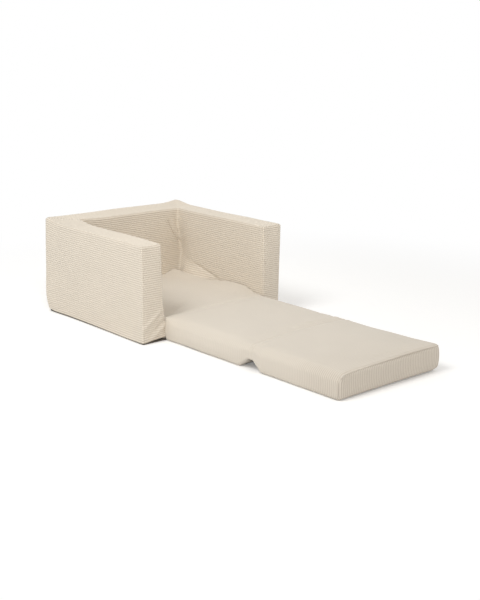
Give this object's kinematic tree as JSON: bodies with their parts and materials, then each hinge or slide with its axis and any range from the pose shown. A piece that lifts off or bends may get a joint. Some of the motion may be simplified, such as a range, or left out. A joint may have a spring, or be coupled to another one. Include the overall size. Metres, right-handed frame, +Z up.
{
  "type": "folding children's armchair",
  "caption": "Low foam armchair for a child: a U-shaped shell of arms and back, with cushions that flip open on fabric hinges into a lounger.",
  "frame": {"origin": "middle of the opened-out part's footprint, on the floor", "axes": "+Z up, +Y from the foot of the lounger towards the chair's back, +X to the sitter's left"},
  "size_m": [0.55, 1.2706, 0.3],
  "materials": {
    "corduroy": "wide-wale corduroy, matte",
    "foam": "open-cell polyurethane foam, matte",
    "nonslip": "woven, with non-slip dots",
    "zip": "woven tape",
    "metal": "nickel plate"
  },
  "bodies": {
    "shell": {"underside_panel": "nonslip", "left_arm_foam": "foam", "right_arm_foam": "foam", "back_foam": "foam", "shell_cover": "corduroy", "shell_zip": "zip", "base_foam": "foam", "base_cover": "corduroy", "base_hinge_leaf": "corduroy"},
    "seat": {"seat_foam": "foam", "seat_cover": "corduroy", "seat_welt": "corduroy", "seat_zip": "zip", "seat_hinge_leaf": "corduroy", "seat_fold_leaf": "corduroy"},
    "backrest": {"backrest_foam": "foam", "backrest_cover": "corduroy", "backrest_welt": "corduroy", "backrest_zip": "zip", "backrest_fold_leaf": "corduroy"},
    "shell_slider": {"shell_slider": "metal"},
    "shell_puller": {"shell_puller": "metal"},
    "seat_slider": {"seat_slider": "metal"},
    "seat_puller": {"seat_puller": "metal"},
    "backrest_slider": {"backrest_slider": "metal"},
    "backrest_puller": {"backrest_puller": "metal"}
  },
  "joints": [
    {"name": "seat_flip", "type": "hinge", "parent": "shell", "child": "seat", "pos_m": [0, 0.10075, 0.078], "axis": [-1, 0, 0], "range_deg": [0, 180]},
    {"name": "backrest_fold", "type": "hinge", "parent": "seat", "child": "backrest", "pos_m": [0, -0.30975, 0.038], "axis": [1, 0, 0], "range_deg": [0, 90]},
    {"name": "shell_zip_slide", "type": "slide", "parent": "shell", "child": "shell_slider", "axis": [1, 0, 0], "range_m": [0, 0.3494]},
    {"name": "shell_puller_turn", "type": "hinge", "parent": "shell_slider", "child": "shell_puller", "pos_m": [-0.1747, 0.63395, 0.03], "axis": [0, 0, 1], "range_deg": [0, 180]},
    {"name": "seat_zip_slide", "type": "slide", "parent": "seat", "child": "seat_slider", "axis": [0, 1, 0], "range_m": [0, 0.2514]},
    {"name": "seat_puller_turn", "type": "hinge", "parent": "seat_slider", "child": "seat_puller", "pos_m": [0.1947, -0.20945, 0.038], "axis": [0, 0, -1], "range_deg": [0, 180]},
    {"name": "backrest_zip_slide", "type": "slide", "parent": "backrest", "child": "backrest_slider", "axis": [0, 1, 0], "range_m": [0, 0.2514]},
    {"name": "backrest_puller_turn", "type": "hinge", "parent": "backrest_slider", "child": "backrest_puller", "pos_m": [0.1947, -0.57845, 0.038], "axis": [0, 0, -1], "range_deg": [0, 180]}
  ],
  "couplings": [
    {"joint": "backrest_fold", "follows": "seat_flip", "ratio": 0.5}
  ]
}
